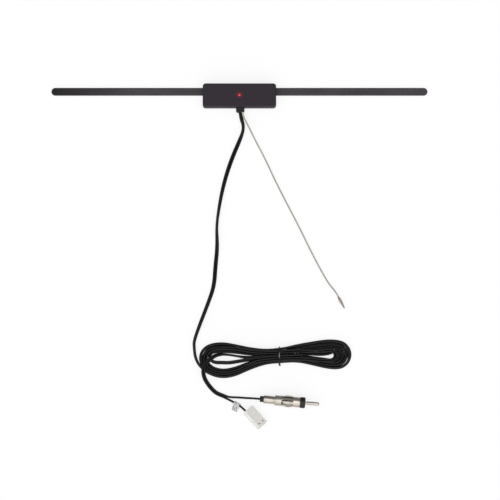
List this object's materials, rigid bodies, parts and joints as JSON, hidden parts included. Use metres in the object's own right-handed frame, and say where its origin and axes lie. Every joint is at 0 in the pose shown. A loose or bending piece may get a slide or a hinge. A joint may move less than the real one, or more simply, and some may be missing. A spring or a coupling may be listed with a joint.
{
  "type": "glass-mount car antenna",
  "caption": "Stick-on car glass antenna: amplifier box with lamp and strip arms, flat twin lead in a tied hank ending in a radio plug and a power connector, and a bare-ended grey wire.",
  "frame": {"origin": "middle of the amplifier box on the glass plane, under its foam tape", "axes": "+X along the strip arms, +Y away from the gland, +Z out of the lamp face; the leads lie on the glass plane towards -Y"},
  "size_m": [0.36, 0.3324, 0.0104],
  "materials": {
    "black_shell": "fine moulded texture",
    "foam_tape": "soft foam, matt",
    "board_green": "satin solder mask",
    "lamp_red": "clear red, glossy",
    "chip_black": "matt",
    "filter_yellow": "matt",
    "ceramic_tan": "matt",
    "resistor_black": "satin",
    "copper": "drawn wire",
    "arm_strip": "satin black film",
    "tab_brass": "stamped",
    "rivet_steel": "plated",
    "gland_rubber": "matt",
    "lead_black": "satin flexible jacket",
    "tie_black": "matt",
    "tag_paper": "matt",
    "wire_grey": "satin flexible jacket",
    "boot_black": "matt",
    "nickel": "bright nickel plate",
    "collar_black": "satin",
    "core_white": "waxy",
    "connector_white": "milky moulded",
    "contact_brass": "tinned"
  },
  "bodies": {
    "root": {"amp_cover": "black_shell", "amp_base": "black_shell", "base_tape": "foam_tape", "left_tape": "foam_tape", "right_tape": "foam_tape", "circuit_board": "board_green", "indicator_led": "lamp_red", "amplifier_transistors": "chip_black", "choke_coils": "chip_black", "filter_capacitor": "filter_yellow", "chip_capacitors": "ceramic_tan", "chip_resistors": "resistor_black", "lead_conductors": "copper", "ground_wire_end": "copper", "left_element": "arm_strip", "right_element": "arm_strip", "left_feed_tab": "tab_brass", "right_feed_tab": "tab_brass", "element_rivets": "rivet_steel", "cable_grommet": "gland_rubber", "lead_upper": "lead_black", "lead_hank": "lead_black", "lead_lower": "lead_black", "coax_tail": "lead_black", "power_tail": "lead_black", "hank_tie": "tie_black", "wire_tag": "tag_paper", "ground_wire": "wire_grey", "plug_boot": "boot_black", "plug_barrel": "nickel", "plug_sleeve": "nickel", "plug_pin": "nickel", "plug_insulator": "collar_black", "coax_core": "core_white", "connector_housing": "connector_white", "connector_terminal": "contact_brass"}
  },
  "joints": []
}
